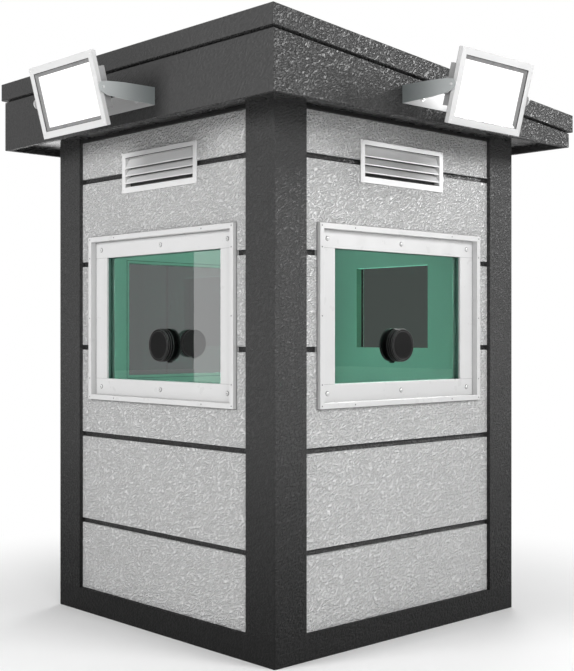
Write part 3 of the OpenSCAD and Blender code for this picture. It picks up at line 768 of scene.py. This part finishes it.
def yoke_bolts(side):
    """Two bolts that hold the yoke's web on the fascia."""
    pivot = PIVOTS[side]
    reach = FASCIA_Y if side == "front" else FASCIA_X
    bar_t, web_drop, washer_t = 0.004, 0.002, 0.0018
    bolts = Piece("yoke_bolts_" + side, "screw", ROOT, "handle_steel")
    for x in (-0.12, 0.12):
        at = turned(side) @ facing_out(x, -reach - bar_t, pivot.z - web_drop)
        bolts.disc(0.014, washer_t, at, 24)
        bolts.disc(0.0085, 0.007, at @ Matrix.Translation((0, 0, washer_t)), 6)
    bolts.done(bevel=0.0005)


for side in SIDES:
    lamp_reflector(side)
    lamp_fittings(side)
    yoke_bolts(side)


# ---------------------------------------------------------------- roof, door and room

def roof_screws():
    """Screws with washers along the ribs of the roof sheet."""
    low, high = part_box("roof_sheet")
    span_y = high[1] - low[1]
    sheet_and_rib = 0.034
    fall = (high[2] - low[2] - sheet_and_rib) / span_y
    ribs, rows = 5, 7
    screws = Piece("roof_screws", "screw", ROOT, "handle_steel")
    for i in range(1, ribs + 1):
        x = low[0] + (high[0] - low[0]) * i / (ribs + 1)
        for k in range(rows):
            y = low[1] + span_y * (k + 0.5) / rows
            z = high[2] - (y - low[1]) * fall
            at = Matrix.Translation((x, y, z)) @ Matrix.Rotation(-math.atan(fall), 4, "X")
            screws.disc(0.007, 0.0012, at, 20)
            screws.disc(0.0042, 0.0042, at @ Matrix.Translation((0, 0, 0.0012)), 6)
    screws.done()


def door_fittings():
    """Key cylinder with its slot, and trim screws of the door."""
    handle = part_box("door_handle")
    face_y = LEAF[1][1]
    plate_half_w, plate_t, key_drop = 0.022, 0.006, 0.042
    x = handle[1][0] - plate_half_w
    key_z = (handle[0][2] + handle[1][2]) / 2 - key_drop
    key = Piece("door_key_cylinder", "steel", DOOR, "handle_steel")
    slot = Piece("door_key_slot", "gasket", DOOR, "port_black")
    for y, spin in ((face_y + plate_t, -90), (LEAF[0][1] - plate_t, 90)):
        at = Matrix.Translation((x, y, key_z)) @ Matrix.Rotation(math.radians(spin), 4, "X")
        key.disc(0.0115, 0.002, at, 32)
        key.disc(0.0085, 0.005, at, 32)
        slot.box((-0.0009, -0.004, 0.0045), (0.0009, 0.004, 0.0052), at)
    key.done(bevel=0.0004)
    slot.done()
    screws = Piece("door_trim_screws", "screw", DOOR, "handle_steel")
    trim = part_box("door_pane_trim")
    edge = 0.018
    for sx in (trim[0][0] + edge, (trim[0][0] + trim[1][0]) / 2, trim[1][0] - edge):
        for sz in (trim[0][2] + edge, trim[1][2] - edge):
            at = Matrix.Translation((sx, trim[1][1], sz)) @ Matrix.Rotation(math.radians(-90), 4, "X")
            screws.dome(0.004, 0.0018, at, 3, 14)
    screws.done(smooth=True)


roof_screws()
door_fittings()


# ---------------------------------------------------------------- stage, light and camera

OUTSIDE_DIM = (0.245, 0.150, 0.178, 1)             # what shows beyond the far glass
LAST_GLASS = 2.5                                   # more clear faces crossed than one sheet has
FLOOR_FADE = 2.6                                   # from here on the floor is as white as the background


def studio_world():
    world = bpy.data.worlds.new("studio")
    scene.world = world
    world.use_nodes = True
    tree = world.node_tree
    background = tree.nodes["Background"]
    path = tree.nodes.new("ShaderNodeLightPath")

    def mix(factor, a, b):
        n = tree.nodes.new("ShaderNodeMix")
        n.data_type = "RGBA"
        ins = {i.name: i for i in n.inputs if i.enabled}
        tree.links.new(factor, ins["Factor"])
        for name, value in (("A", a), ("B", b)):
            if isinstance(value, bpy.types.NodeSocket):
                tree.links.new(value, ins[name])
            else:
                ins[name].default_value = value
        return next(o for o in n.outputs if o.enabled)

    through = tree.nodes.new("ShaderNodeMath")
    through.operation = "GREATER_THAN"
    through.inputs[1].default_value = LAST_GLASS
    tree.links.new(path.outputs["Transmission Depth"], through.inputs[0])
    direct = tree.nodes.new("ShaderNodeMath")
    direct.operation = "MAXIMUM"
    tree.links.new(path.outputs["Is Camera Ray"], direct.inputs[0])
    tree.links.new(path.outputs["Is Transmission Ray"], direct.inputs[1])
    lighting = mix(path.outputs["Is Glossy Ray"], (0.34, 0.34, 0.34, 1), (0.17, 0.17, 0.17, 1))
    seen = mix(through.outputs[0], (1, 1, 1, 1), OUTSIDE_DIM)
    tree.links.new(mix(direct.outputs[0], lighting, seen), background.inputs["Color"])


def pale_floor():
    bpy.ops.mesh.primitive_plane_add(size=60, location=(0, 0, -0.0005))
    floor = bpy.context.object
    floor.name = "floor"
    pale = (0.88, 0.88, 0.88, 1)
    sh = Shader("pale_floor", pale, 0.8, specular=0.1)
    sh.color(speckled(sh, pale, 0.01, 0.8))
    dim = sh.node("ShaderNodeEmission", {"Color": OUTSIDE_DIM})
    glow = sh.node("ShaderNodeEmission", {"Color": (1, 1, 1, 1)})
    path = sh.node("ShaderNodeLightPath")
    away = sh.node("ShaderNodeVectorMath", {0: sh.place()}, operation="LENGTH").outputs["Value"]
    far = sh.math("MULTIPLY", sh.ramp(away, 0.9, FLOOR_FADE), path.outputs["Is Camera Ray"])
    near = sh.node("ShaderNodeMixShader", {0: far, 1: sh.bsdf.outputs[0], 2: glow.outputs[0]})
    through = sh.math("GREATER_THAN", path.outputs["Transmission Depth"], LAST_GLASS)
    mixed = sh.node("ShaderNodeMixShader", {0: through, 1: near.outputs[0], 2: dim.outputs[0]})
    sh.tree.links.new(mixed.outputs[0], sh.out.inputs["Surface"])
    floor.data.materials.append(sh.mat)


def area_light(name, at, aim, size, watts, color=(1, 1, 1)):
    data = bpy.data.lights.new(name, "AREA")
    data.shape = "RECTANGLE"
    data.size, data.size_y = size
    data.energy = watts
    data.color = color
    obj = bpy.data.objects.new(name, data)
    scene.collection.objects.link(obj)
    obj.location = at
    obj.rotation_euler = (Vector(aim) - Vector(at)).to_track_quat("-Z", "Y").to_euler()
    obj.visible_camera = False
    return obj


def reflection_card(name, edge, along, width, height, strength):
    """A bright card that shows only in mirror images, from its edge's middle along a level direction."""
    bm = bmesh.new()
    bmesh.ops.create_grid(bm, x_segments=1, y_segments=1, size=0.5)
    mesh = bpy.data.meshes.new(name)
    bm.to_mesh(mesh)
    bm.free()
    card = bpy.data.objects.new(name, mesh)
    scene.collection.objects.link(card)
    along = Vector(along).normalized()
    normal = Vector((0, 0, 1)).cross(along)
    axes = Matrix(((along.x * width, 0, normal.x, 0), (along.y * width, 0, normal.y, 0),
                   (0, height, 0, 0), (0, 0, 0, 1)))
    card.matrix_world = Matrix.Translation(Vector(edge) + along * width / 2) @ axes
    sh = Shader(name + "_light", (1, 1, 1, 1), 1.0)
    glow = sh.node("ShaderNodeEmission", {"Strength": strength})
    sh.tree.links.new(glow.outputs[0], sh.out.inputs["Surface"])
    mesh.materials.append(sh.mat)
    card.visible_camera = False
    card.visible_diffuse = False
    card.visible_shadow = False
    card.visible_transmission = False


CAMERA_AT = Vector((4.006, -3.736, 1.270))
CAMERA_FORWARD = Vector((-0.7296, 0.6839, 0.0))
CAMERA_LENS = 62.68


def camera():
    data = bpy.data.cameras.new("camera")
    data.sensor_width = 36
    data.lens = CAMERA_LENS
    data.shift_x = -0.00075
    data.shift_y = -0.00153
    obj = bpy.data.objects.new("camera", data)
    scene.collection.objects.link(obj)
    obj.location = CAMERA_AT
    obj.rotation_euler = CAMERA_FORWARD.to_track_quat("-Z", "Y").to_euler()
    scene.camera = obj


studio_world()
pale_floor()
reflection_card("front_card", (-4.50, -4.45, 1.35), (0.68, -0.73, 0), 2.4, 1.7, 1.8)
reflection_card("soffit_card", (-6.0, 0.8, 0.9), (0.3, 1, 0), 4.0, 1.8, 2.2)
area_light("key", (5.5, 1.0, 4.2), (0.5, 0, 1.4), (2.0, 2.0), 180)
area_light("right_fill", (5.6, -3.2, 2.6), (0.3, 0, 1.3), (2.0, 2.0), 115)
area_light("front_fill", (-0.8, -6.0, 3.4), (0, -0.5, 1.4), (2.0, 2.0), 222)
area_light("sparkle", (4.4, 4.6, 3.9), (0.75, 0, 1.4), (1.4, 1.4), 700).visible_diffuse = False
area_light("back", (-3.5, 5.5, 4.0), (0, 0, 1.2), (3.0, 3.0), 180)
for name, at, aim, size, watts in (("room_top", (0, 0, 2.12), (0, 0, 0), (1.0, 1.0), 1.7),
                                   ("room_side", (0.5, -0.3, 1.75), (-0.66, 0.1, 1.3), (0.3, 0.7), 4.4)):
    area_light(name, at, aim, size, watts).visible_glossy = False
camera()
scene.view_settings.view_transform = "Standard"
